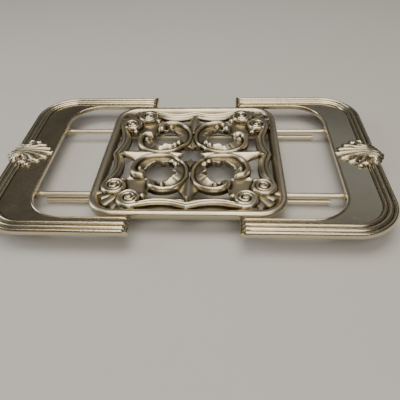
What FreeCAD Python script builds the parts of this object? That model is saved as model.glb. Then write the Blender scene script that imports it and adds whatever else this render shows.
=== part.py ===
"""Expanding table trivet: a pierced centre panel and two C-shaped side frames that slide out of it.

Millimetres. +Z is up and z = 0 is the table top that the feet stand on. The origin is under the
middle of the panel. +X runs along the slides. Both frames are drawn pulled out to their stops.

Each frame carries two guide rods, which run in saddles under the panel. Two longer rails are fixed
in the same saddles, below the rods, and stiffen the panel. Every piece is a solid of its own.
"""

import FreeCAD, Part
import math
import os

Vector = FreeCAD.Vector
UP = Vector(0, 0, 1)
ALONG_X = Vector(1, 0, 0)

# Heights
CREST = 20.0            # top of the reeds on the frames and of the panel's rim
PLATE_TOP = 18.4        # flat top of the side frames
PLATE_BOTTOM = 15.5
SKIRT_BOTTOM = 15.0     # lower edge of the frames' outer face
PANEL_BOTTOM = 14.0
PANEL_FLOOR = 18.0      # pierced field inside the panel's rim
ROD_HEIGHT = 10.6       # axis of the sliding rods
RAIL_HEIGHT = 4.4       # axis of the fixed rails

# Side frames, pulled out
FRAME_OUTER_X = 158.3
FRAME_OUTER_Y = 96.5
FRAME_INNER_X = 122.8
FRAME_INNER_Y = 80.1
ARM_END_X = 40.0
OUTER_CORNER = 36.0
INNER_CORNER = 29.0

# Reeded border of the side frames: distances in from the outer face
REED_VALLEYS = (0.0, 3.7, 8.2, 11.5)
SKIRT_WIDTH = 2.5
INNER_BEAD = 1.8
INNER_BEAD_TOP = 19.3
END_BEAD = 3.3

# Centre panel
PANEL_HALF = 77.6
PANEL_CORNER = 22.0
RIM_WIDTH = 7.0
RING_CENTRE = 23.0      # the four scroll openings, from both middle lines
RING_SIZE = 26.0
RING_CORNER = 10.0
SLIT_CENTRE = (52.3, 17.0)
SLIT_SIZE = (5.0, 16.0)
CENTRE_HOLE = 6.0
BOSS_CENTRES = ((59.5, 45.0), (45.0, 59.5))
BOSS_RADIUS = 8.5
BOSS_TOP = 21.6

# Guides
TRACK_Y = 46.2
ROD_RADIUS = 2.4
ROD_INNER_END = 41.5
ROD_OUTER_END = 131.0
RUNNING_CLEARANCE = 0.05
RAIL_RADIUS = 2.3
RAIL_SPANS = {"front": (-117.5, 113.0), "back": (-77.0, 113.0)}
SADDLE_HALF_WIDTH = 3.6
SADDLE_SPANS = {"inner": (45.0, 51.0), "outer": (66.0, 72.0)}
COLLAR_RADIUS = 3.2
COLLAR_SPAN = (41.8, 44.9)
SOCKET_SPAN = (123.6, 134.0)
SOCKET_RADIUS = 3.6

# Feet: each is a turned peg
FRAME_FOOT = (139.0, 70.0)
PANEL_FOOT = (58.0, 58.0)
FOOT_FLANGE = 4.5
FOOT_WAIST = 2.6
FOOT_BALL = 3.8
FLANGE_THICKNESS = 1.2
COLLAR_DROP = 3.0       # from the flange to the narrowest point of the foot

# Shell mounts: a half ellipse with a scalloped rim, closed by an arc beyond the outer border
SHELL_WAIST_X = 146.0
SHELL_REACH = 19.5
SHELL_HALF_WIDTH = 19.0
SHELL_SCALLOPS = 11
SCALLOP_BULGE = 0.22    # a scallop's rise, as a part of its chord
SHELL_NOSE_X = 164.0
SHELL_CREST_X = 147.0
SHELL_TOP = 22.8
SHELL_BOTTOM = 16.0
DOME_RADIUS = 50.0


def unit(vector):
    return vector.normalize() if vector.Length else vector


def rounded_wire(corners, height):
    """A closed wire through (x, y, radius) corners, each rounded by its radius."""
    points = [Vector(x, y, height) for x, y, _ in corners]
    edges = []
    ends = []
    for index, (_, _, radius) in enumerate(corners):
        here = points[index]
        back = unit(points[index - 1] - here)
        ahead = unit(points[(index + 1) % len(points)] - here)
        if not radius:
            ends.append((here, here))
            continue
        half_angle = back.getAngle(ahead) / 2
        reach = radius / math.tan(half_angle)
        bisector = unit(back + ahead)
        centre = here + bisector * (radius / math.sin(half_angle))
        start = here + back * reach
        stop = here + ahead * reach
        edges.append(Part.Arc(start, centre - bisector * radius, stop).toShape())
        ends.append((start, stop))
    for index, (_, stop) in enumerate(ends):
        following = ends[(index + 1) % len(ends)][0]
        if (following - stop).Length > 1e-6:
            edges.append(Part.LineSegment(stop, following).toShape())
    return Part.Wire(Part.__sortEdges__(edges))


def slab(corners, bottom, top):
    face = Part.Face(rounded_wire(corners, bottom))
    return face.extrude(UP * (top - bottom))


def rectangle(half_x, half_y, radius, centre=(0.0, 0.0)):
    """The four rounded corners of a rectangle, counter-clockwise."""
    x, y = centre
    return [
        (x + half_x, y - half_y, radius),
        (x + half_x, y + half_y, radius),
        (x - half_x, y + half_y, radius),
        (x - half_x, y - half_y, radius),
    ]


def carry(profile, start, heading, moves):
    """Carries a closed profile from start along level moves and joins the stretches.

    A move is (length, 0) for a straight, or (radius, degrees) for a bend, positive to the left.
    """
    face = Part.Face(profile)
    stretches = []
    for size, turn in moves:
        if not turn:
            step = heading * size
            stretches.append(face.extrude(step))
            face.translate(step)
            start = start + step
            continue
        axis = UP * math.copysign(1, turn)
        centre = start + axis.cross(heading) * size
        stretches.append(face.revolve(centre, axis, abs(turn)))
        face.rotate(centre, axis, abs(turn))
        rotation = FreeCAD.Rotation(axis, abs(turn))
        start = centre + rotation.multVec(start - centre)
        heading = rotation.multVec(heading)
    return stretches[0].multiFuse(stretches[1:])


def c_moves(outer_x, outer_y, radius):
    """The moves round a right-hand frame, from its back arm end to its front arm end."""
    arm = (outer_x - radius - ARM_END_X, 0)
    bend = (radius, -90)
    side = (2 * (outer_y - radius), 0)
    return [arm, bend, side, bend, arm]


def moulding(place, valleys, valley_height, crest_height, feet):
    """A profile of round reeds between valleys, closed underneath by the points in feet.

    place turns (distance, height) into a point of the model.
    """
    edges = []
    for near, far in zip(valleys, valleys[1:]):
        start = place(near, valley_height)
        crest = place((near + far) / 2, crest_height)
        stop = place(far, valley_height)
        edges.append(Part.Arc(start, crest, stop).toShape())
    corners = [(valleys[-1], valley_height)] + feet + [(valleys[0], valley_height)]
    for (d1, z1), (d2, z2) in zip(corners, corners[1:]):
        edges.append(Part.LineSegment(place(d1, z1), place(d2, z2)).toShape())
    return Part.Wire(Part.__sortEdges__(edges))


def side_frame():
    """The right-hand frame: a flat C plate, a reeded border, an inner bead and two end beads."""
    inset = SKIRT_WIDTH / 2
    plate = slab(
        [
            (ARM_END_X, FRAME_OUTER_Y - inset, 0),
            (ARM_END_X, FRAME_INNER_Y + INNER_BEAD / 2, 0),
            (FRAME_INNER_X + INNER_BEAD / 2, FRAME_INNER_Y + INNER_BEAD / 2, INNER_CORNER),
            (FRAME_INNER_X + INNER_BEAD / 2, -FRAME_INNER_Y - INNER_BEAD / 2, INNER_CORNER),
            (ARM_END_X, -FRAME_INNER_Y - INNER_BEAD / 2, 0),
            (ARM_END_X, -FRAME_OUTER_Y + inset, 0),
            (FRAME_OUTER_X - inset, -FRAME_OUTER_Y + inset, OUTER_CORNER - inset),
            (FRAME_OUTER_X - inset, FRAME_OUTER_Y - inset, OUTER_CORNER - inset),
        ],
        PLATE_BOTTOM,
        PLATE_TOP,
    )

    def from_outer_face(distance, height):
        return Vector(ARM_END_X, FRAME_OUTER_Y - distance, height)

    def from_inner_edge(distance, height):
        return Vector(ARM_END_X, FRAME_INNER_Y + distance, height)

    border_feet = [
        (REED_VALLEYS[-1], PLATE_BOTTOM),
        (SKIRT_WIDTH, PLATE_BOTTOM),
        (SKIRT_WIDTH, SKIRT_BOTTOM),
        (0.0, SKIRT_BOTTOM),
    ]
    border = carry(
        moulding(from_outer_face, REED_VALLEYS, PLATE_TOP, CREST, border_feet),
        Vector(ARM_END_X, FRAME_OUTER_Y, 0),
        ALONG_X,
        c_moves(FRAME_OUTER_X, FRAME_OUTER_Y, OUTER_CORNER),
    )
    bead_feet = [(INNER_BEAD, PLATE_BOTTOM), (0.0, PLATE_BOTTOM)]
    bead = carry(
        moulding(from_inner_edge, (0.0, INNER_BEAD), PLATE_TOP, INNER_BEAD_TOP, bead_feet),
        Vector(ARM_END_X, FRAME_INNER_Y, 0),
        ALONG_X,
        c_moves(FRAME_INNER_X, FRAME_INNER_Y, INNER_CORNER),
    )
    return plate.multiFuse([border, bead, end_bead(1), end_bead(-1)]).removeSplitter()


def end_bead(side):
    """The raised bead across one arm's free end."""
    start_y = FRAME_INNER_Y if side > 0 else -FRAME_OUTER_Y

    def across_arm(distance, height):
        return Vector(ARM_END_X + distance, start_y, height)

    profile = moulding(
        across_arm,
        (0.0, END_BEAD),
        PLATE_TOP,
        CREST,
        [(END_BEAD, PLATE_BOTTOM), (0.0, PLATE_BOTTOM)],
    )
    return Part.Face(profile).extrude(Vector(0, FRAME_OUTER_Y - FRAME_INNER_Y, 0))


def centre_panel():
    """A rounded square casting: a bead rim round a pierced field with a boss at each volute."""
    field = slab(
        rectangle(PANEL_HALF - 1, PANEL_HALF - 1, PANEL_CORNER - 1),
        PANEL_BOTTOM,
        PANEL_FLOOR,
    )

    half_side = PANEL_HALF - PANEL_CORNER

    def from_panel_edge(distance, height):
        return Vector(0, -PANEL_HALF + distance, height)

    rim_feet = [(RIM_WIDTH, PANEL_BOTTOM), (0.0, PANEL_BOTTOM)]
    rim = carry(
        moulding(from_panel_edge, (0.0, RIM_WIDTH), PANEL_FLOOR, CREST, rim_feet),
        Vector(0, -PANEL_HALF, 0),
        ALONG_X,
        [(half_side, 0), (PANEL_CORNER, 90), (half_side, 0)] * 4,
    )
    bosses = []
    for x, y in BOSS_CENTRES:
        for side_x in (-1, 1):
            for side_y in (-1, 1):
                foot = Vector(side_x * x, side_y * y, PANEL_BOTTOM)
                bosses.append(Part.makeCylinder(BOSS_RADIUS, BOSS_TOP - PANEL_BOTTOM, foot))
    panel = field.multiFuse([rim] + bosses)
    return panel.cut(Part.makeCompound(piercings())).removeSplitter()


def piercings():
    """The cutters for the openings of the panel: they run right through it."""
    low = PANEL_BOTTOM - 1
    high = BOSS_TOP + 1
    cutters = [Part.makeCylinder(CENTRE_HOLE, high - low, Vector(0, 0, low))]
    for side_x in (-1, 1):
        for side_y in (-1, 1):
            ring = (side_x * RING_CENTRE, side_y * RING_CENTRE)
            cutters.append(slab(rectangle(RING_SIZE / 2, RING_SIZE / 2, RING_CORNER, ring), low, high))
            far, near = SLIT_CENTRE
            wide, long = SLIT_SIZE
            beside_x = (side_x * far, side_y * near)
            beside_y = (side_x * near, side_y * far)
            end = wide / 2 - 0.1
            cutters.append(slab(rectangle(wide / 2, long / 2, end, beside_x), low, high))
            cutters.append(slab(rectangle(long / 2, wide / 2, end, beside_y), low, high))
    return cutters


def hanging_block(start, length, half_width, top, axis_height):
    """A block along X with a flat top and a round bottom about axis_height."""
    upper = Part.makeBox(
        length,
        2 * half_width,
        top - axis_height,
        Vector(start, -half_width, axis_height),
    )
    lower = Part.makeCylinder(half_width, length, Vector(start, 0, axis_height), ALONG_X)
    return upper.fuse(lower).removeSplitter()


def bar(start, stop, radius, height):
    return Part.makeCylinder(radius, stop - start, Vector(start, 0, height), ALONG_X)


def saddle(span):
    """A guide under the panel: the sliding rod runs in its upper bore, the rail sits in the lower."""
    start, stop = span
    block = hanging_block(start, stop - start, SADDLE_HALF_WIDTH, PANEL_BOTTOM, RAIL_HEIGHT)
    rod_bore = bar(start - 1, stop + 1, ROD_RADIUS + RUNNING_CLEARANCE, ROD_HEIGHT)
    rail_bore = bar(start - 1, stop + 1, RAIL_RADIUS, RAIL_HEIGHT)
    return block.cut(rod_bore).cut(rail_bore)


def rod_socket():
    """A blind socket under the frame's plate that holds the outer end of one rod."""
    start, stop = SOCKET_SPAN
    block = hanging_block(start, stop - start, SOCKET_RADIUS, PLATE_BOTTOM, ROD_HEIGHT)
    return block.cut(bar(start - 1, ROD_OUTER_END, ROD_RADIUS, ROD_HEIGHT))


def stop_collar():
    """The ring at a rod's inner end, which meets the inner saddle when the frame is pulled out."""
    start, stop = COLLAR_SPAN
    ring = bar(start, stop, COLLAR_RADIUS, ROD_HEIGHT)
    return ring.cut(bar(start - 1, stop + 1, ROD_RADIUS, ROD_HEIGHT))


def foot(top):
    """A turned foot: a flange at the top, a waist, and a ball that stands on the table."""
    waist_height = top - FLANGE_THICKNESS - COLLAR_DROP
    ball_centre = FOOT_BALL * 0.9
    ball_bottom = math.sqrt(FOOT_BALL**2 - ball_centre**2)
    ball_top = ball_centre + math.sqrt(FOOT_BALL**2 - FOOT_WAIST**2)

    def at(radius, height):
        return Vector(radius, 0, height)

    edges = [
        Part.LineSegment(at(0, 0), at(ball_bottom, 0)),
        Part.Arc(at(ball_bottom, 0), at(FOOT_BALL, ball_centre), at(FOOT_WAIST, ball_top)),
        Part.LineSegment(at(FOOT_WAIST, ball_top), at(FOOT_WAIST, waist_height)),
        Part.LineSegment(at(FOOT_WAIST, waist_height), at(FOOT_FLANGE, top - FLANGE_THICKNESS)),
        Part.LineSegment(at(FOOT_FLANGE, top - FLANGE_THICKNESS), at(FOOT_FLANGE, top)),
        Part.LineSegment(at(FOOT_FLANGE, top), at(0, top)),
        Part.LineSegment(at(0, top), at(0, 0)),
    ]
    outline = Part.Wire([edge.toShape() for edge in edges])
    return Part.Face(outline).revolve(Vector(0, 0, 0), UP, 360)


def shell_mount(frame):
    """A scalloped fan under a shallow dome, laid over the middle of the frame's outer border."""
    rim = []
    for index in range(SHELL_SCALLOPS + 1):
        turn = math.pi * (index / SHELL_SCALLOPS - 0.5)
        x = SHELL_WAIST_X - SHELL_REACH * math.cos(turn)
        rim.append(Vector(x, SHELL_HALF_WIDTH * math.sin(turn), SHELL_BOTTOM))
    edges = []
    for start, stop in zip(rim, rim[1:]):
        outwards = UP.cross(stop - start) * -SCALLOP_BULGE
        edges.append(Part.Arc(start, (start + stop) / 2 - outwards, stop).toShape())
    nose = Vector(SHELL_NOSE_X, 0, SHELL_BOTTOM)
    edges.append(Part.Arc(rim[-1], nose, rim[0]).toShape())
    outline = Part.Wire(edges)
    fan = Part.Face(outline).extrude(UP * (SHELL_TOP - SHELL_BOTTOM + 1))
    dome_centre = Vector(SHELL_CREST_X, 0, SHELL_TOP - DOME_RADIUS)
    return fan.common(Part.makeSphere(DOME_RADIUS, dome_centre)).cut(frame)


def placed(shape, x, y):
    copy = shape.copy()
    copy.translate(Vector(x, y, 0))
    return copy


def on_side(shape, side):
    """The shape itself on the right, or its mirror image on the left."""
    return shape if side == "right" else shape.mirror(Vector(0, 0, 0), ALONG_X)


def build_nodes():
    nodes = {"centre_panel": centre_panel()}
    tracks = {"front": -TRACK_Y, "back": TRACK_Y}
    right_frame = side_frame()
    right_shell = shell_mount(right_frame)
    rod = bar(ROD_INNER_END, ROD_OUTER_END, ROD_RADIUS, ROD_HEIGHT)
    for row, y in tracks.items():
        start, stop = RAIL_SPANS[row]
        rail = bar(start, stop, RAIL_RADIUS, RAIL_HEIGHT)
        nodes[f"{row}_guide_rail"] = placed(rail, 0, y)
    for side in ("left", "right"):
        nodes[f"{side}_side_frame"] = on_side(right_frame, side)
        nodes[f"{side}_shell_mount"] = on_side(right_shell, side)
        for row, y in tracks.items():
            corner = f"{side}_{row}"
            way = math.copysign(1, y)
            nodes[f"{corner}_rod"] = on_side(placed(rod, 0, y), side)
            nodes[f"{corner}_rod_socket"] = on_side(placed(rod_socket(), 0, y), side)
            nodes[f"{corner}_stop_collar"] = on_side(placed(stop_collar(), 0, y), side)
            for place, span in SADDLE_SPANS.items():
                nodes[f"{corner}_{place}_saddle"] = on_side(placed(saddle(span), 0, y), side)
            panel_foot = placed(foot(PANEL_BOTTOM), PANEL_FOOT[0], way * PANEL_FOOT[1])
            frame_foot = placed(foot(PLATE_BOTTOM), FRAME_FOOT[0], way * FRAME_FOOT[1])
            nodes[f"{corner}_panel_foot"] = on_side(panel_foot, side)
            nodes[f"{corner}_frame_foot"] = on_side(frame_foot, side)
    return nodes


os.makedirs("parts", exist_ok=True)
for name, shape in build_nodes().items():
    shape.exportStep(f"parts/{name}.step")
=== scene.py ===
"""Expanding silver-plated table trivet: the looks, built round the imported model.

Lengths inside the script are millimetres in the model's own frame (+Z up, z = 0 on the table, +X along
the slides). Meshes are scaled to metres when they are made.
"""

import math

import bpy
import numpy as np
from mathutils import Matrix, Vector


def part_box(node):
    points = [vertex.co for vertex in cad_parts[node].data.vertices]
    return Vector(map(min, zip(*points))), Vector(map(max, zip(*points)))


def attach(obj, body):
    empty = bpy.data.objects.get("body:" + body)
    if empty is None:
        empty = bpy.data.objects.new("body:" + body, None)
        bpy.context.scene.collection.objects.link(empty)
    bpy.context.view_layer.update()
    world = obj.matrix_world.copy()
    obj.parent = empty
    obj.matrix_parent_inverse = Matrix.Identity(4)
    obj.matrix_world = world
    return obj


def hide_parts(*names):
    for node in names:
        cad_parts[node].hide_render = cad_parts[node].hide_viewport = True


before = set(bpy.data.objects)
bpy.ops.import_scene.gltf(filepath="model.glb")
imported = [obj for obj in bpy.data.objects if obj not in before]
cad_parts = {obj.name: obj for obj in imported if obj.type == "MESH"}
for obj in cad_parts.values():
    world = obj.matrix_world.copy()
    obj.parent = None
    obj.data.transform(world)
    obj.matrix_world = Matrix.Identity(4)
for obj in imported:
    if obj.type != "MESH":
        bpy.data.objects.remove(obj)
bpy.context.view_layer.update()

MM = 0.001


def box_mm(node):
    """The lowest and highest corner of a CAD node, in millimetres."""
    low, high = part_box(node)
    return Vector(low) / MM, Vector(high) / MM


# ---------------------------------------------------------------- driving dimensions
frame_low, frame_high = box_mm("right_side_frame")
panel_low, panel_high = box_mm("centre_panel")

CREST = frame_high.z            # top of the reeds
SKIRT_BOTTOM = frame_low.z
OUTER_X = frame_high.x
OUTER_Y = frame_high.y
ARM_END_X = frame_low.x
OUTER_CORNER = 36.0
INNER_X = 122.8
INNER_Y = 80.1
INNER_CORNER = 29.0
PLATE_TOP = CREST - 1.6
PLATE_BOTTOM = 15.5

PANEL_HALF = panel_high.x
PANEL_BOTTOM = panel_low.z
PANEL_CORNER = 22.0


# ---------------------------------------------------------------- camera
CAMERA_PLACE = (27.93, -296.54, 233.63)
CAMERA_YAW = 4.28               # degrees, to the left
CAMERA_PITCH = 42.29            # degrees, downwards
CAMERA_ROLL = -2.394            # degrees
CAMERA_LENS = 37.54             # focal length in mm on a 36 mm wide sensor


def add_camera():
    """The camera stands in front of the trivet, a little to the right of its middle."""
    yaw, pitch, roll = (math.radians(angle) for angle in (CAMERA_YAW, CAMERA_PITCH, CAMERA_ROLL))
    ahead = Vector(
        (-math.sin(yaw) * math.cos(pitch), math.cos(yaw) * math.cos(pitch), -math.sin(pitch))
    )
    level_right = Vector((math.cos(yaw), math.sin(yaw), 0.0))
    level_up = level_right.cross(ahead)
    right = level_right * math.cos(roll) + level_up * math.sin(roll)
    up = right.cross(ahead)
    turn = Matrix((right, up, -ahead)).transposed()
    data = bpy.data.cameras.new("camera")
    data.sensor_width = 36.0
    data.lens = CAMERA_LENS
    camera = bpy.data.objects.new("camera", data)
    camera.matrix_world = Matrix.Translation(Vector(CAMERA_PLACE) * MM) @ turn.to_4x4()
    bpy.context.scene.collection.objects.link(camera)
    bpy.context.scene.camera = camera


# ---------------------------------------------------------------- meshes
def link(name, mesh):
    piece = bpy.data.objects.new(name, mesh)
    bpy.context.scene.collection.objects.link(piece)
    return piece


def make_piece(name, vertices, faces, material, body, cavity=None, crease=40.0):
    """A smooth-shaded mesh from millimetre vertices, riding on a body.

    cavity holds one number per vertex: 0 in a hollow, 0.5 on a flat and 1 on a ridge.
    """
    mesh = bpy.data.meshes.new(name)
    mesh.from_pydata((np.asarray(vertices) * MM).tolist(), [], faces)
    mesh.update()
    if cavity is not None:
        layer = mesh.attributes.new("cavity", "FLOAT", "POINT")
        layer.data.foreach_set("value", np.asarray(cavity, dtype=np.float32))
    mesh.shade_smooth()
    mesh.set_sharp_from_angle(angle=math.radians(crease))
    mesh.materials.append(material)
    piece = link(name, mesh)
    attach(piece, body)
    return piece


# ---------------------------------------------------------------- materials
class Nodes:
    """A short way to add and join shader nodes."""

    def __init__(self, tree):
        self.tree = tree
        tree.nodes.clear()

    def add(self, kind, **inputs):
        node = self.tree.nodes.new(kind)
        for name, value in inputs.items():
            self.put(node.inputs[name.replace("_", " ")], value)
        return node

    def put(self, socket, value):
        if isinstance(value, bpy.types.NodeSocket):
            self.tree.links.new(value, socket)
        else:
            socket.default_value = value

    def noise(self, coordinates, scale, detail=3.0, roughness=0.5, distortion=0.0):
        node = self.add("ShaderNodeTexNoise", Vector=coordinates, Scale=scale, Detail=detail)
        node.inputs["Roughness"].default_value = roughness
        node.inputs["Distortion"].default_value = distortion
        return node.outputs["Fac"]

    def remap(self, value, low, high, to_low, to_high):
        node = self.add("ShaderNodeMapRange", Value=value)
        node.inputs["From Min"].default_value = low
        node.inputs["From Max"].default_value = high
        node.inputs["To Min"].default_value = to_low
        node.inputs["To Max"].default_value = to_high
        return node.outputs["Result"]

    def mix(self, factor, first, second):
        node = self.tree.nodes.new("ShaderNodeMix")
        node.data_type = "RGBA"
        self.put(node.inputs["Factor"], factor)
        self.put(node.inputs["A"], first)
        self.put(node.inputs["B"], second)
        return node.outputs["Result"]

    def math(self, operation, first, second):
        node = self.tree.nodes.new("ShaderNodeMath")
        node.operation = operation
        self.put(node.inputs[0], first)
        self.put(node.inputs[1], second)
        return node.outputs["Value"]


WARM = (0.73, 0.645, 0.475, 1.0)
PALE = (0.82, 0.73, 0.55, 1.0)
# The dark colour: olive-brown tarnish, and also painted shade in the hollows, on the walls and on the
# undersides.
TARNISH_AND_SHADE = (0.10, 0.075, 0.035, 1.0)
CLOUDS_PER_METRE = 38.0         # the cloudy film on the flats
SPECKLES_PER_METRE = 420.0
GRAINS_PER_METRE = 1500.0
SCRATCHES_PER_METRE = 260.0     # along X
SCRATCH_STRETCH = 14.0          # how many times finer they are across X


def silver(name, bright, tarnish_and_shade, smooth=0.2, rough=0.42, hollow_dark=0.9, haze=0.35, darkened_below=0.5):
    """Old silver plate: bright where rubbed, olive-brown tarnish and painted shade in hollows, hazy on
    flats.

    bright is the metal's colour, and the other colour is that of tarnish and painted shade. smooth and
    rough are the ends of the roughness. hollow_dark is how strongly the cavity attribute darkens with
    tarnish and painted shade, and haze how much cloudy film lies on the metal. Below the cavity value in
    the last argument, tarnish and painted shade darken the metal. Above it, the metal is left bright.
    """
    material = bpy.data.materials.new(name)
    material.use_nodes = True
    nodes = Nodes(material.node_tree)
    place = nodes.add("ShaderNodeTexCoord").outputs["Object"]
    cloud = nodes.noise(place, CLOUDS_PER_METRE, detail=4.0, roughness=0.6, distortion=0.6)
    speckle = nodes.noise(place, SPECKLES_PER_METRE, detail=3.0, roughness=0.7)
    grain = nodes.noise(place, GRAINS_PER_METRE, detail=2.0)
    cloudy = nodes.remap(cloud, 0.35, 0.75, 0.0, haze)
    speckled = nodes.remap(speckle, 0.3, 0.7, 0.5, 0.9)
    film = nodes.math("MULTIPLY", cloudy, speckled)
    stain_and_shade = film
    # The cavity attribute darkens the metal towards the dark colour: partly real tarnish in the hollows,
    # partly painted shade.
    if hollow_dark:
        cavity = nodes.add("ShaderNodeAttribute")
        cavity.attribute_name = "cavity"
        hollow = nodes.remap(cavity.outputs["Fac"], darkened_below, 0.15, 0.0, hollow_dark)
        stain_and_shade = nodes.math("MAXIMUM", hollow, film)
    colour = nodes.mix(stain_and_shade, bright, tarnish_and_shade)
    unevenness = nodes.math("ADD", nodes.math("MULTIPLY", cloud, 0.7), nodes.math("MULTIPLY", speckle, 0.3))
    roughness = nodes.remap(unevenness, 0.3, 0.75, smooth, rough)
    stretch = (1.0, SCRATCH_STRETCH, SCRATCH_STRETCH)
    stretched = nodes.add("ShaderNodeMapping", Vector=place, Scale=stretch)
    scratches = nodes.noise(stretched.outputs["Vector"], SCRATCHES_PER_METRE, detail=2.0)
    height = nodes.math("ADD", nodes.math("MULTIPLY", scratches, 0.5), nodes.math("MULTIPLY", grain, 0.4))
    bump = nodes.add("ShaderNodeBump", Height=height, Strength=0.1, Distance=0.0002)
    surface = nodes.add("ShaderNodeBsdfPrincipled", Metallic=1.0, Roughness=roughness)
    nodes.put(surface.inputs["Base Color"], colour)
    nodes.put(surface.inputs["Normal"], bump.outputs["Normal"])
    output = nodes.add("ShaderNodeOutputMaterial")
    nodes.put(output.inputs["Surface"], surface.outputs["BSDF"])
    return material


def pale_floor_material():
    material = bpy.data.materials.new("pale_floor")
    material.use_nodes = True
    nodes = Nodes(material.node_tree)
    place = nodes.add("ShaderNodeTexCoord").outputs["Object"]
    cloud = nodes.noise(place, 3.0)
    colour = nodes.mix(cloud, (0.60, 0.59, 0.57, 1.0), (0.63, 0.62, 0.60, 1.0))
    surface = nodes.add("ShaderNodeBsdfPrincipled", Roughness=0.9)
    nodes.put(surface.inputs["Base Color"], colour)
    output = nodes.add("ShaderNodeOutputMaterial")
    nodes.put(output.inputs["Surface"], surface.outputs["BSDF"])
    return material


# ---------------------------------------------------------------- side frames
REED_VALLEYS = (0.0, 3.7, 8.2, 11.5)
REED_STEPS = 8
INNER_BEAD = 1.8
INNER_BEAD_TOP = 19.3
END_BEAD = 3.3
SKIRT_WIDTH = 2.5
SKIRT_ROUND = 0.3               # the softened lower edges of the skirt
ARC_FULLNESS = 0.62             # 0.5 is a half ellipse and 1 a parabola
BEND_STEPS = 36                 # along one rounded corner
SIDE_STEPS = 24                 # along the side between the corners
ARM_STEPS = 10


def arc_height(part, rise):
    """The height of a shallow arc over its chord, for part of the way along it from 0 to 1."""
    return rise * (1.0 - (2.0 * part - 1.0) ** 2) ** ARC_FULLNESS


def reed_profile():
    """(distance in from the outer face, height, cavity) from the outer face to the flat."""
    points = []
    # The cavity falls to 0 in the valleys between the reeds, and to 0.05 where they meet the flat, so
    # tarnish and painted shade darken the grooves.
    for near, far in zip(REED_VALLEYS, REED_VALLEYS[1:]):
        for step in range(REED_STEPS):
            part = step / REED_STEPS
            rise = arc_height(part, CREST - PLATE_TOP)
            points.append((near + part * (far - near), PLATE_TOP + rise, rise / (CREST - PLATE_TOP)))
    points[0] = (0.15, PLATE_TOP - 0.1, 0.5)
    points.append((REED_VALLEYS[-1], PLATE_TOP, 0.05))
    points.append((REED_VALLEYS[-1] + 0.7, PLATE_TOP, 0.45))
    return points


def bead_profile():
    """(distance out from the inner edge, height, cavity) from the flat to the inner edge."""
    # The foot of the bead gets a low cavity value, so tarnish and painted shade darken the crease.
    points = [(INNER_BEAD + 0.6, PLATE_TOP, 0.45), (INNER_BEAD, PLATE_TOP, 0.2)]
    for step in range(1, 6):
        part = 1.0 - step / 6
        rise = arc_height(part, INNER_BEAD_TOP - PLATE_TOP)
        points.append((part * INNER_BEAD, PLATE_TOP + rise, 0.5 + 0.5 * rise))
    return points + [(0.0, PLATE_TOP - 0.2, 0.6)]


def c_stations(outer_x, outer_y, radius):
    """Stations along a right-hand C: a point, its outward direction and its distance along the arm.

    Every C gets the same count of stations, closer together across the end bead.
    """
    bend_x, bend_y = outer_x - radius, outer_y - radius
    arm = bend_x - ARM_END_X
    end_parts = [0.0, 0.12, 0.3, 0.5, 0.7, 0.88, 1.0, 1.3]
    starts = [part * END_BEAD for part in end_parts]
    starts += [starts[-1] + (arm - starts[-1]) * step / ARM_STEPS for step in range(1, ARM_STEPS)]
    stations = [((ARM_END_X + along, outer_y), (0.0, 1.0), along) for along in starts]
    for step in range(BEND_STEPS + 1):
        angle = math.pi / 2 * (1 - step / BEND_STEPS)
        way = (math.cos(angle), math.sin(angle))
        place = (bend_x + radius * way[0], bend_y + radius * way[1])
        stations.append((place, way, arm))
    for step in range(1, SIDE_STEPS // 2 + 1):
        stations.append(((outer_x, bend_y * (1 - 2 * step / SIDE_STEPS)), (1.0, 0.0), arm))
    mirrored = [((x, -y), (nx, -ny), along) for (x, y), (nx, ny), along in reversed(stations[:-1])]
    return stations + mirrored


def end_blend(along):
    """How much of the end bead, and its height, apply this far from an arm's free end."""
    if along <= END_BEAD:
        return 1.0, PLATE_TOP - 0.1 + arc_height(min(along / END_BEAD, 1.0), CREST - PLATE_TOP)
    return 0.0, PLATE_TOP


def frame_section(outer_station, inner_station, reeds, bead):
    """One cross-section through a frame: its points in order, each with its cavity."""
    outer_place, outer_way, along = outer_station
    inner_place, inner_way, _ = inner_station
    bead_part, bead_height = end_blend(along)

    def raised(height):
        return bead_part * bead_height + (1 - bead_part) * height

    # The outer face, the inner edge and the underside get low cavity values, which darken them with painted
    # shade.
    border = [(0.0, SKIRT_BOTTOM + SKIRT_ROUND, 0.35), (0.0, PLATE_TOP - 0.5, 0.5)]
    border += [(-distance, raised(height), hollow) for distance, height, hollow in reeds]
    inner_edge = [(distance, raised(height), hollow) for distance, height, hollow in bead]
    inner_edge.append((0.0, PLATE_BOTTOM, 0.35))
    underside = [
        (-SKIRT_WIDTH, PLATE_BOTTOM, 0.3),
        (-SKIRT_WIDTH + SKIRT_ROUND, SKIRT_BOTTOM, 0.3),
        (-SKIRT_ROUND, SKIRT_BOTTOM, 0.3),
    ]
    section = []
    for place, way, points in (
        (outer_place, outer_way, border),
        (inner_place, inner_way, inner_edge),
        (outer_place, outer_way, underside),
    ):
        for distance, height, hollow in points:
            point = (place[0] + way[0] * distance, place[1] + way[1] * distance, height)
            section.append((point, hollow))
    return section


def side_frame_mesh():
    """Vertices, faces and cavity of the right-hand frame."""
    outer = c_stations(OUTER_X, OUTER_Y, OUTER_CORNER)
    inner = c_stations(INNER_X, INNER_Y, INNER_CORNER)
    reeds, bead = reed_profile(), bead_profile()
    sections = [frame_section(*pair, reeds, bead) for pair in zip(outer, inner)]
    vertices = [point for section in sections for point, _ in section]
    cavity = [hollow for section in sections for _, hollow in section]
    ring = len(sections[0])
    faces = []
    for station in range(len(sections) - 1):
        for point in range(ring):
            following = (point + 1) % ring
            here, there = station * ring, (station + 1) * ring
            faces.append((here + point, there + point, there + following, here + following))
    last = (len(sections) - 1) * ring
    faces.append(tuple(range(ring)))
    faces.append(tuple(last + point for point in reversed(range(ring))))
    return vertices, faces, cavity


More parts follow.
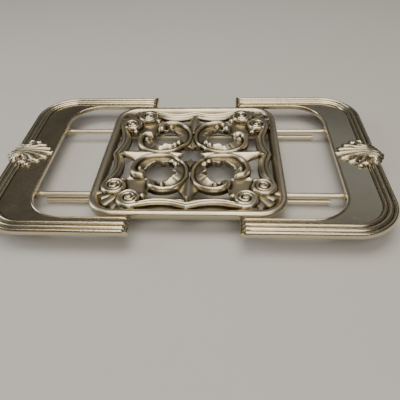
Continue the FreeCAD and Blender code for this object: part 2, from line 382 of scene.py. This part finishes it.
def both_sides(vertices, faces):
    """The mirror image of a right-hand mesh and the mesh itself, with the names of their sides."""
    flipped = [(-x, y, z) for x, y, z in vertices]
    left = (flipped, [tuple(reversed(face)) for face in faces])
    return (("left", left), ("right", (vertices, faces)))


# ---------------------------------------------------------------- curves for the relief
def smooth_path(points, spacing=0.16):
    """A Catmull-Rom curve through given points, sampled about every spacing."""
    points = np.asarray(points, dtype=float)
    padded = np.vstack([2 * points[0] - points[1], points, 2 * points[-1] - points[-2]])
    samples = []
    for index in range(1, len(padded) - 2):
        p0, p1, p2, p3 = padded[index - 1 : index + 3]
        count = max(2, int(np.linalg.norm((p2 - p1)[:2]) / spacing))
        for part in np.arange(count) / count:
            samples.append(
                0.5
                * (
                    2 * p1
                    + (p2 - p0) * part
                    + (2 * p0 - 5 * p1 + 4 * p2 - p3) * part**2
                    + (3 * p1 - p0 - 3 * p2 + p3) * part**3
                )
            )
    samples.append(padded[-2])
    return np.array(samples)


FAR = 99.0


class Relief:
    """A height map that strokes, leaves and balls are pressed into."""

    def __init__(self, x, y, floor):
        self.x, self.y = x, y
        self.height = np.full(x.shape, floor, dtype=float)
        self.edge = np.full(x.shape, FAR)       # distance outside the nearest shape

    def cover(self, height, edge):
        """Joins a shape to the relief. Outside all shapes, the height of the closest one counts."""
        both = (edge < 0) & (self.edge < 0)
        single = np.where(edge < self.edge, height, self.height)
        self.height = np.where(both, np.maximum(self.height, height), single)
        self.edge = np.minimum(self.edge, edge)

    def nearest(self, path):
        """For each grid point: the nearest sample, its distance and its side of the path."""
        line = path[:, :2]
        flat_x, flat_y = self.x.ravel(), self.y.ravel()
        best = np.full(flat_x.shape, np.inf)
        index = np.zeros(flat_x.shape, dtype=int)
        for sample, (px, py) in enumerate(line):
            distance = (flat_x - px) ** 2 + (flat_y - py) ** 2
            closer = distance < best
            best[closer] = distance[closer]
            index[closer] = sample
        along = np.gradient(line, axis=0)
        along /= np.linalg.norm(along, axis=1)[:, None]
        offset_x = flat_x - line[index, 0]
        offset_y = flat_y - line[index, 1]
        side = np.sign(along[index, 0] * offset_y - along[index, 1] * offset_x)
        shape = self.x.shape
        return index.reshape(shape), np.sqrt(best).reshape(shape), side.reshape(shape)

    def stroke(self, path, profile):
        """Presses a stroke. path rows are x, y, left width, right width, crest height, foot height."""
        index, distance, side = self.nearest(path)
        left, right, crest, foot = (path[index, column] for column in range(2, 6))
        width = np.where(side > 0, left, right)
        across = np.clip(distance / width, 0.0, 1.0)
        height = foot + (crest - foot) * profile(across * side, index / (len(path) - 1))
        self.cover(height, distance - width)

    def ball(self, x, y, radius, top, drop):
        """Presses a bead, whose rim lies by drop below its top."""
        distance = np.hypot(self.x - x, self.y - y)
        inside = np.clip(distance / radius, 0.0, 1.0)
        self.cover(top - drop * (1 - np.sqrt(1 - inside**2)), distance - radius)


def round_profile(across, along):
    return np.sqrt(np.clip(1 - across**2, 0, 1))


# ---------------------------------------------------------------- the panel's scrollwork
# All of it is drawn once, for the eighth of the field between the X axis and the diagonal. In the
# paths, a row holds x, y, left width, right width, crest height and foot height.
ORNAMENT_HALF = 72.0            # half the width of the field, under the rim's inner slope
ORNAMENT_CORNER = 18.0
GRID_STEP = ORNAMENT_HALF / 128
WEB = 16.6                      # the recessed smooth plates behind the scrolls
VOLUTE = (59.5, 45.0)
VOLUTE_STEPS = 46
VOLUTE_START = -20              # degrees round the eye, where the band begins to curl
VOLUTE_TURN = 1000              # degrees from there to the eye
VOLUTE_WINDS_FROM = 140         # degrees, where the circle begins to close in
LEAF_LOBES = 5
LEAF_PHASE = 0.5                # radians: where in its first lobe the leaf starts
FAN_ROOT = 46.0
FAN_START = 5.0                 # from the root to where the fan is seen
FAN_REACH = 27.6
FAN_SPREAD = 60.0               # degrees each side of the diagonal
FAN_FLUTES = 7
FAN_NOTCH_AT = 13.0             # degrees from the diagonal, on both sides of it
FAN_NOTCH_WIDTH = 6.0           # degrees
FAN_NOTCH_DEPTH = 3.0
FISHTAIL_INNER = (39.0, 7.0)    # where its rounded inner corner begins, and the corner's radius
FISHTAIL_OUTER = 58.0
FISHTAIL_BITE = (54.5, 26.5, 7.5)       # centre and radius
ORNAMENT_BEADS = (                # x, y, radius, top and drop
    (42.2, 21.6, 1.8, 20.6, 1.8),
    (15.8, 12.4, 2.7, 21.2, 3.0),
    (54.6, 35.6, 2.4, 19.4, 1.6),
    (*VOLUTE, 1.7, 21.5, 1.0),
)


def band_path():
    """From the cusp at the middle of a side to the eye of the volute."""
    lead = [
        (66.6, 0.0, 6.0, 3.2, 20.0, 16.0),
        (65.0, 4.5, 5.6, 3.4, 20.0, 16.0),
        (62.9, 12.0, 5.4, 3.4, 20.0, 16.0),
        (62.2, 20.0, 5.4, 3.4, 20.2, 16.0),
        (63.0, 27.5, 5.2, 3.3, 20.6, 16.2),
        (65.0, 34.5, 4.0, 3.0, 21.0, 17.0),
    ]
    curl = []
    end = VOLUTE_START + VOLUTE_TURN
    for step in range(VOLUTE_STEPS + 1):
        part = step / VOLUTE_STEPS
        turn = VOLUTE_START + VOLUTE_TURN * part
        winding = max(0.0, (turn - VOLUTE_WINDS_FROM) / (end - VOLUTE_WINDS_FROM))
        radius = 8.0 - 6.9 * winding
        width = 2.8 - 1.3 * min(1.0, part / 0.2) - 0.3 * winding
        angle = math.radians(turn)
        curl.append(
            (
                VOLUTE[0] + radius * math.cos(angle),
                VOLUTE[1] + radius * math.sin(angle),
                width,
                width,
                21.0 + 0.4 * part,
                18.8 + 0.8 * winding,
            )
        )
    return smooth_path(lead + curl)


def band_profile(across, along):
    """Ridges with two grooves between them, and a slope on the side of the openings.

    The grooves and the slope fade out where the band becomes the round roll of the volute.
    """
    lead = np.clip((0.42 - along) / 0.12, 0, 1)
    middle_groove = 0.36 * np.exp(-((across / 0.18) ** 2))
    side_groove = 0.2 * np.exp(-(((across - 0.58) / 0.13) ** 2))
    outer = np.sqrt(np.clip(1 - np.abs(across) ** 3, 0, 1))
    slope = 1 - np.clip((across - 0.2) / 0.8, 0, 1) ** 1.4
    roll = np.sqrt(np.clip(1 - np.abs(across) ** 2.2, 0, 1))
    inner = lead * slope + (1 - lead) * roll
    return np.where(across < 0, outer, inner) - (middle_groove + side_groove) * lead


def rope_path():
    """The round outer roll of a C: it starts beside the centre and swells towards its curl."""
    return smooth_path(
        [
            (9.4, 10.8, 1.3, 1.3, 20.0, 15.5),
            (13.2, 6.4, 1.3, 1.3, 20.0, 15.5),
            (19.0, 3.3, 1.5, 1.5, 19.9, 15.5),
            (26.5, 2.2, 1.6, 1.6, 19.8, 15.5),
            (34.0, 3.0, 1.8, 1.8, 19.9, 15.5),
            (41.0, 6.2, 2.1, 2.1, 20.2, 15.5),
            (46.0, 11.5, 2.4, 2.4, 20.6, 15.5),
            (48.3, 18.5, 2.6, 2.5, 21.0, 15.5),
            (47.6, 25.3, 3.0, 2.9, 21.3, 15.8),
            (44.2, 29.6, 3.5, 3.4, 21.4, 15.8),
            (39.8, 30.6, 3.9, 3.8, 21.0, 15.8),
        ]
    )


def leaf_path():
    """The groove beside the roll, from which the leaf rises to its lobed inner edge."""
    return smooth_path(
        [
            (10.6, 13.6, 1.8, 1.6, 20.2, 18.0),
            (14.0, 9.0, 5.6, 1.6, 20.3, 17.8),
            (19.0, 5.8, 9.0, 1.6, 20.4, 17.6),
            (24.6, 4.7, 9.4, 1.6, 20.4, 17.5),
            (28.6, 4.7, 6.2, 1.6, 20.2, 17.4),
            (32.0, 5.2, 7.4, 1.6, 20.3, 17.4),
            (36.5, 7.2, 9.0, 1.6, 20.3, 17.3),
            (41.0, 11.0, 8.6, 1.8, 19.6, 17.2),
            (43.8, 16.0, 8.0, 1.8, 18.8, 17.2),
            (44.4, 20.6, 7.8, 1.8, 18.4, 17.2),
            (43.4, 24.6, 6.6, 1.8, 18.2, 17.2),
            (40.6, 27.0, 4.0, 1.8, 18.2, 17.2),
        ]
    )


def lobed(path, lobes, depth):
    """The same path with its left side scalloped."""
    wave = np.sin(np.linspace(0, math.pi * lobes, len(path)) + LEAF_PHASE) ** 2
    scalloped = path.copy()
    scalloped[:, 2] *= 1 - depth * (1 - wave)
    return scalloped


def leaf_profile(across, along):
    """A hollow leaf that rises to a turned-up edge, with a vein between its lobes."""
    lobe = np.abs(np.sin(along * math.pi * LEAF_LOBES + LEAF_PHASE))
    inner = np.clip(across, 0, 1)
    rise = inner**1.7 - 0.35 * np.clip((inner - 0.84) / 0.16, 0, 1) ** 2
    veins = 0.12 * (1 - lobe) ** 2 * np.sin(inner * math.pi * 0.8)
    return np.clip(rise - veins, 0, 1)


def petal(relief, start, widest, tip, half_width, ridge, fall_off):
    """A spear-shaped leaf on the middle line. Its two faces fall away from a ridge."""
    part = np.clip((relief.x - start) / (tip - start), 0, 1)
    peak = (widest - start) / (tip - start)
    rise = np.clip(part / peak, 0, 1) ** 1.3
    fall = np.clip((1 - part) / (1 - peak), 0, 1) ** 1.25
    width = half_width * np.where(part < peak, rise, fall) + 0.01
    outside = np.maximum(np.abs(relief.y) - width, np.maximum(start - relief.x, relief.x - tip))
    across = np.clip(np.abs(relief.y) / width, 0, 1)
    height = ridge - fall_off * width * across**1.3 - (1 - part) ** 2
    relief.cover(height, outside)


def corner_fan(relief):
    """The leaf between the two volutes of a corner, with a few rounded flutes."""
    dx, dy = relief.x - FAN_ROOT, relief.y - FAN_ROOT
    reach = np.hypot(dx, dy)
    angle = np.degrees(np.arctan2(dy, dx)) - 45
    part = (angle / FAN_SPREAD + 1) / 2 * FAN_FLUTES
    across = 2 * (part - np.floor(part)) - 1
    height = 16.9 + 1.2 * np.sqrt(np.clip(1 - 0.9 * across**2, 0, 1)) + 0.02 * reach
    notch = FAN_NOTCH_DEPTH * np.exp(-(((np.abs(angle) - FAN_NOTCH_AT) / FAN_NOTCH_WIDTH) ** 2))
    ends = np.maximum(reach - FAN_REACH + notch, FAN_START - reach)
    relief.cover(height, np.maximum(ends, np.abs(angle) - FAN_SPREAD))


def rounded_square(x, y, half, radius):
    """Distance outside a rounded square."""
    flat = half - radius
    across = np.maximum(np.abs(x) - flat, 0)
    along = np.maximum(np.abs(y) - flat, 0)
    inward = np.minimum(np.maximum(np.abs(x), np.abs(y)) - flat, 0)
    return np.hypot(across, along) - radius + inward


def dish(relief, x, y, radius, height):
    """A recessed flat disc."""
    relief.cover(np.full(relief.x.shape, height), np.hypot(relief.x - x, relief.y - y) - radius)


def fishtail(relief):
    """The smooth plate on the diagonal, which curves up at its two edges."""
    inner, radius = FISHTAIL_INNER
    short_x = np.clip(inner - relief.x, 0, None)
    short_y = np.clip(inner - relief.y, 0, None)
    corner = np.hypot(short_x, short_y) - radius
    curve_up = np.clip((35.5 - relief.y) / 3.5, 0, 1)
    height = WEB - 0.2 + 1.3 * curve_up**2
    bite_x, bite_y, bite_radius = FISHTAIL_BITE
    bite = bite_radius - np.hypot(relief.x - bite_x, relief.y - bite_y)
    outside = np.maximum(np.maximum(corner, bite), relief.x - FISHTAIL_OUTER)
    relief.cover(height, outside)


def ornament_relief(x, y):
    """The relief of one eighth of the field: x is the larger and y the smaller distance."""
    relief = Relief(x, y, 14.5)
    fishtail(relief)
    dish(relief, *VOLUTE, 9.6, 17.4)
    dish(relief, 12.6, 4.4, 3.6, WEB)
    corner_fan(relief)
    petal(relief, 33.0, 46.5, 62.5, 8.8, 20.4, 0.52)
    petal(relief, 7.5, 12.5, 21.0, 4.2, 19.4, 0.5)
    relief.stroke(band_path(), band_profile)
    relief.stroke(lobed(leaf_path(), LEAF_LOBES, 0.08), leaf_profile)
    relief.stroke(rope_path(), round_profile)
    for bead in ORNAMENT_BEADS:
        relief.ball(*bead)
    return relief


def blurred(values, passes):
    """The map smoothed by so many passes over each point and its neighbours."""
    for _ in range(passes):
        padded = np.pad(values, 1, mode="edge")
        rows = (padded[:-2] + 2 * padded[1:-1] + padded[2:]) / 4
        values = (rows[:, :-2] + 2 * rows[:, 1:-1] + rows[:, 2:]) / 4
    return values


def relief_cavity(height):
    """0 in grooves and hollows, 0.5 on the flat and 1 on ridges: the mask for tarnish and painted shade."""
    broad = height - blurred(height, 16)
    narrow = height - blurred(height, 4)
    return np.clip(0.5 + 0.42 * broad + 0.6 * narrow, 0, 1)


def onto_outline(x, y, edge):
    """The grid's places, with those outside the outline drawn in onto it."""
    step = x[1, 0] - x[0, 0]
    slope_x, slope_y = np.gradient(edge, step)
    steep = np.maximum(slope_x**2 + slope_y**2, 0.4)
    shift = np.clip(edge, 0, 2.4 * step)
    return x - shift * slope_x / steep, y - shift * slope_y / steep


def open_edges(quads):
    """The edges that only one quad has, each in the direction that its quad gives it."""
    edges = {}
    for quad in quads.tolist():
        for start, stop in zip(quad, quad[1:] + quad[:1]):
            if (stop, start) in edges:
                del edges[(stop, start)]
            else:
                edges[(start, stop)] = True
    return list(edges)


def height_mesh(x, y, height, edge, bottom, cavity):
    """A closed mesh under a height map, with upright walls at its outline and a flat bottom."""
    inside = edge < 0
    cell = inside[:-1, :-1] | inside[1:, :-1] | inside[1:, 1:] | inside[:-1, 1:]
    used = np.zeros(inside.shape, dtype=bool)
    for columns in (slice(None, -1), slice(1, None)):
        for rows in (slice(None, -1), slice(1, None)):
            used[columns, rows] |= cell
    px, py = onto_outline(x, y, edge)
    number = np.full(inside.shape, -1)
    number[used] = np.arange(used.sum())
    top = np.stack([px[used], py[used], height[used]], axis=1)
    i, j = np.nonzero(cell)
    corners = [(i, j), (i + 1, j), (i + 1, j + 1), (i, j + 1)]
    quads = np.stack([number[corner] for corner in corners], axis=1)
    first, second, third, fourth = [height[corner] for corner in corners]
    # A cell is cut along the diagonal whose ends are closer in height.
    turned = np.abs(first - third) > np.abs(second - fourth)
    quads[turned] = np.roll(quads[turned], -1, axis=1)
    count = len(top)
    under = top.copy()
    under[:, 2] = bottom
    walls = [(stop, start, start + count, stop + count) for start, stop in open_edges(quads)]
    below = (quads[:, ::-1] + count).tolist()
    vertices = np.vstack([top, under])
    # The walls and the bottom get a low cavity value, which darkens them with painted shade.
    shade = np.concatenate([cavity[used], np.full(count, 0.3)])
    return vertices, quads.tolist() + walls + below, shade


def ornament_mesh():
    """The whole field, from one quarter of the height map."""
    count = round(ORNAMENT_HALF / GRID_STEP) + 1
    line = np.arange(count) * GRID_STEP
    qx, qy = np.meshgrid(line, line, indexing="ij")
    relief = ornament_relief(np.maximum(qx, qy), np.minimum(qx, qy))
    fold = np.abs(np.arange(-count + 1, count))
    height = relief.height[np.ix_(fold, fold)]
    edge = relief.edge[np.ix_(fold, fold)]
    full = np.arange(-count + 1, count) * GRID_STEP
    x, y = np.meshgrid(full, full, indexing="ij")
    edge = np.maximum(edge, rounded_square(x, y, ORNAMENT_HALF - 0.5, ORNAMENT_CORNER))
    height = blurred(height, 1)
    return height_mesh(x, y, height, edge, PANEL_BOTTOM, relief_cavity(height))


RIM_BEND_STEPS = 20             # along one rounded corner
RIM_SIDE_STEPS = 12
# The rim's walls and the groove at its inner foot get low cavity values, so tarnish and painted shade
# darken them.
RIM_PROFILE = (                 # distance in from the panel's edge, height and cavity
    (0.0, PANEL_BOTTOM, 0.35),
    (0.0, CREST - 2.6, 0.5),
    (0.25, CREST - 1.6, 0.6),
    (0.9, CREST - 0.7, 0.8),
    (2.0, CREST - 0.12, 1.0),
    (3.3, CREST, 1.0),
    (4.6, CREST - 0.25, 0.9),
    (5.8, CREST - 1.1, 0.7),
    (6.6, CREST - 2.2, 0.35),
    (7.6, CREST - 3.0, 0.2),
    (8.6, CREST - 3.6, 0.2),
    (8.6, PANEL_BOTTOM, 0.3),
)


def rim_stations():
    """Centres and outward angles round the panel. The rim lies at the corner radius from them."""
    flat = PANEL_HALF - PANEL_CORNER
    stations = []
    for quarter in range(4):
        first = math.pi / 2 * quarter
        corner = first + math.pi / 4
        centre = (
            flat * math.copysign(1, math.cos(corner)),
            flat * math.copysign(1, math.sin(corner)),
        )
        for step in range(RIM_BEND_STEPS + 1):
            stations.append((centre, first + math.pi / 2 * step / RIM_BEND_STEPS))
        ahead = first + math.pi / 2
        across = (flat * math.cos(ahead), flat * math.sin(ahead))
        for step in range(1, RIM_SIDE_STEPS):
            part = 1 - 2 * step / RIM_SIDE_STEPS
            along = (flat * part * math.sin(ahead), -flat * part * math.cos(ahead))
            stations.append(((along[0] + across[0], along[1] + across[1]), ahead))
    return stations


def rim_mesh():
    """The bead round the panel: a closed sweep of a rounded profile."""
    vertices, cavity = [], []
    stations = rim_stations()
    for (cx, cy), angle in stations:
        for distance, height, hollow in RIM_PROFILE:
            radius = PANEL_CORNER - distance
            vertices.append((cx + radius * math.cos(angle), cy + radius * math.sin(angle), height))
            cavity.append(hollow)
    ring, total = len(RIM_PROFILE), len(stations)
    faces = []
    for station in range(total):
        for point in range(ring):
            following = (point + 1) % ring
            here, there = station * ring, (station + 1) % total * ring
            faces.append((here + following, there + following, there + point, here + point))
    return vertices, faces, cavity


# ---------------------------------------------------------------- the shells on the side frames
SHELL_STEP = 0.36
SHELL_REACH = (123.0, 166.0)    # along X
SHELL_HALF = 21.0               # along Y
SHELL_BOTTOM = 16.4
SHELL_WAIST = 150.0
INNER_ENDS = ((125.9, 0.0), (129.4, 6.0), (134.8, 11.2), (141.2, 15.8))
OUTER_ENDS = ((162.8, 0.0), (161.4, 3.9), (159.0, 7.8), (156.0, 12.4))
FLUTE_GAP = 2.4                 # between the flutes at the waist
WEB_WIDTH = 1.3                 # the web under a flute, as a part of the flute's width
WEB_DEPTH = 1.7                 # below the flute's crest
SHELL_BEADS = (                 # x, y, radius, top and drop, where the outermost flutes curl up
    (146.6, 14.4, 3.3, 22.0, 2.6),
    (141.4, 17.2, 2.4, 20.6, 1.8),
)
PUPIL = (146.2, 13.4)           # the dimple in the larger bead
PUPIL_DEPTH = 1.8


def flute_path(number):
    """One flute, from its lobe on the plate through the waist to its lobe on the outer edge."""
    inner_x, inner_y = INNER_ENDS[number]
    outer_x, outer_y = OUTER_ENDS[number]
    waist = FLUTE_GAP * number
    return smooth_path(
        [
            (inner_x, inner_y, 2.9, 2.9, 20.4, 18.6),
            (inner_x + 3.0, inner_y * 0.93, 2.7, 2.7, 21.2, 18.6),
            (0.5 * (inner_x + SHELL_WAIST), 0.3 * inner_y + 0.7 * waist, 1.9, 1.9, 22.0, 19.4),
            (SHELL_WAIST - 1.5, waist, 1.3, 1.3, 22.6, 20.2),
            (SHELL_WAIST + 2.0, waist, 1.3, 1.3, 22.6, 20.4),
            (0.5 * (outer_x + SHELL_WAIST) + 2.0, 0.4 * waist + 0.6 * outer_y, 1.7, 1.7, 22.0, 19.8),
            (outer_x - 1.4, outer_y, 2.0, 2.0, 20.8, 18.8),
            (outer_x, outer_y * 1.03, 2.0, 2.0, 19.0, 17.0),
        ]
    )


def shell_mesh():
    """The right-hand shell: flutes that fan out on both sides of a waist."""
    columns = np.arange(*SHELL_REACH, SHELL_STEP)
    rows = np.arange(0, SHELL_HALF, SHELL_STEP)
    x, y = np.meshgrid(columns, rows, indexing="ij")
    relief = Relief(x, y, 18.0)
    for number in range(len(INNER_ENDS)):
        flute = flute_path(number)
        web = flute.copy()
        web[:, 2:4] *= WEB_WIDTH
        web[:, 4] -= WEB_DEPTH
        web[:, 5] = web[:, 4]
        relief.stroke(web, round_profile)
        relief.stroke(flute, round_profile)
    for bead in SHELL_BEADS:
        relief.ball(*bead)
    pupil = PUPIL_DEPTH * np.exp(-(((x - PUPIL[0]) ** 2 + (y - PUPIL[1]) ** 2) / 1.6))
    fold = np.abs(np.arange(-len(rows) + 1, len(rows)))
    height = blurred((relief.height - pupil)[:, fold], 1)
    edge = relief.edge[:, fold]
    full = np.arange(-len(rows) + 1, len(rows)) * SHELL_STEP
    x, y = np.meshgrid(columns, full, indexing="ij")
    return height_mesh(x, y, height, edge, SHELL_BOTTOM, relief_cavity(height))


def build_shells(material):
    vertices, faces, cavity = shell_mesh()
    for side, shape in both_sides(vertices, faces):
        piece = make_piece(f"{side}_shell", *shape, material, f"{side}_frame", cavity, crease=70.0)
        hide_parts(f"{side}_shell_mount")


# ---------------------------------------------------------------- build
def build_frames(material):
    vertices, faces, cavity = side_frame_mesh()
    for side, shape in both_sides(vertices, faces):
        piece = make_piece(f"{side}_frame_plate", *shape, material, f"{side}_frame", cavity)
        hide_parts(f"{side}_side_frame")


def build_panel(material):
    vertices, faces, cavity = ornament_mesh()
    scrolls = make_piece("panel_scrollwork", vertices, faces, material, "root", cavity, crease=70.0)
    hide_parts("centre_panel")
    vertices, faces, cavity = rim_mesh()
    rim = make_piece("panel_rim", vertices, faces, material, "root", cavity)
    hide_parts("centre_panel")


def dress_fittings():
    """Materials for the CAD pieces that stay as they are."""
    bars = silver("rubbed_bar", PALE, TARNISH_AND_SHADE, smooth=0.3, rough=0.45, hollow_dark=0, haze=0.15)
    fittings = silver("dull_fitting", WARM, TARNISH_AND_SHADE, smooth=0.35, rough=0.55, hollow_dark=0, haze=0.8)
    feet = silver("silver_foot", WARM, TARNISH_AND_SHADE, smooth=0.22, rough=0.4, hollow_dark=0)
    for node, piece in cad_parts.items():
        material = fittings
        if node.endswith(("_rod", "_rail")):
            material = bars
        elif node.endswith("_foot"):
            material = feet
        piece.data.materials.clear()
        piece.data.materials.append(material)


# ---------------------------------------------------------------- studio
FLOOR_HALF = 3.0                # metres


def area_light(name, place, target, size, power, colour):
    """A rectangular lamp. Places and sizes are in metres, and power is in watts."""
    data = bpy.data.lights.new(name, "AREA")
    data.shape = "RECTANGLE"
    data.size, data.size_y = size
    data.energy = power
    data.color = colour
    light = bpy.data.objects.new(name, data)
    light.location = place
    light.rotation_euler = (Vector(target) - Vector(place)).to_track_quat("-Z", "Y").to_euler()
    bpy.context.scene.collection.objects.link(light)


def build_studio():
    """A plain pale floor, a dim world and four soft lamps."""
    corners = [(FLOOR_HALF * x, FLOOR_HALF * y, 0) for x, y in ((-1, -1), (1, -1), (1, 1), (-1, 1))]
    mesh = bpy.data.meshes.new("floor")
    mesh.from_pydata(corners, [], [(0, 1, 2, 3)])
    mesh.materials.append(pale_floor_material())
    floor = link("floor", mesh)
    world = bpy.data.worlds.new("studio")
    world.use_nodes = True
    nodes = Nodes(world.node_tree)
    background = nodes.add("ShaderNodeBackground", Color=(0.20, 0.19, 0.17, 1.0), Strength=0.4)
    output = nodes.add("ShaderNodeOutputWorld")
    nodes.put(output.inputs["Surface"], background.outputs["Background"])
    bpy.context.scene.world = world
    area_light("top_softbox", (-0.05, 0.05, 1.1), (0, 0, 0), (1.0, 0.7), 8.0, (1.0, 0.93, 0.80))
    area_light("front_fill", (0.2, -0.9, 1.05), (0, 0, 0), (1.4, 0.8), 9.0, (1.0, 0.94, 0.84))
    area_light("left_strip", (-1.1, 0.1, 0.5), (0, 0, 0), (0.4, 1.0), 4.0, (0.90, 0.95, 1.0))
    area_light("right_haze", (0.55, 0.95, 0.8), (0.1, 0, 0), (0.7, 0.3), 0.2, (0.75, 0.85, 1.0))


add_camera()
build_studio()
plate = silver("silver_plate", WARM, TARNISH_AND_SHADE, smooth=0.16, rough=0.34)
casting = silver("silver_casting", PALE, TARNISH_AND_SHADE, smooth=0.24, rough=0.42, hollow_dark=1.0, darkened_below=0.7)
shell_casting = silver("silver_shell", PALE, TARNISH_AND_SHADE, smooth=0.24, rough=0.42, hollow_dark=1.0, darkened_below=0.8)
build_frames(plate)
build_panel(casting)
build_shells(shell_casting)
dress_fittings()
